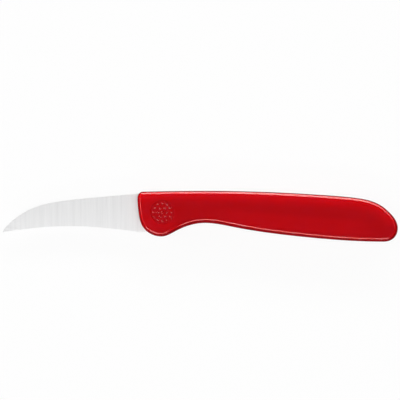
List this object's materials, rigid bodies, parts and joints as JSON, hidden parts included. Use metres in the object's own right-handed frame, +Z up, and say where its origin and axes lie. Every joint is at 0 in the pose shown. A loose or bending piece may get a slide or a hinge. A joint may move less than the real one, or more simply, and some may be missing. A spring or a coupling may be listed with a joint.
{
  "type": "paring knife",
  "caption": "Small kitchen knife with a short, downward-curved peeling blade whose hidden tang is moulded into a glossy red plastic handle with a finger guard.",
  "frame": {"origin": "under the middle of the knife's bounding box, on the surface that the knife lies on", "axes": "the knife lies on its side: +X runs along it from the blade's tip to the butt of the handle, +Y towards the back of the blade, +Z up through its thickness"},
  "size_m": [0.1756, 0.0226, 0.0124],
  "materials": {
    "steel": "fine cross-ground satin",
    "red_plastic": "smooth, glossy"
  },
  "bodies": {
    "root": {"blade": "steel", "handle": "red_plastic"}
  },
  "joints": []
}
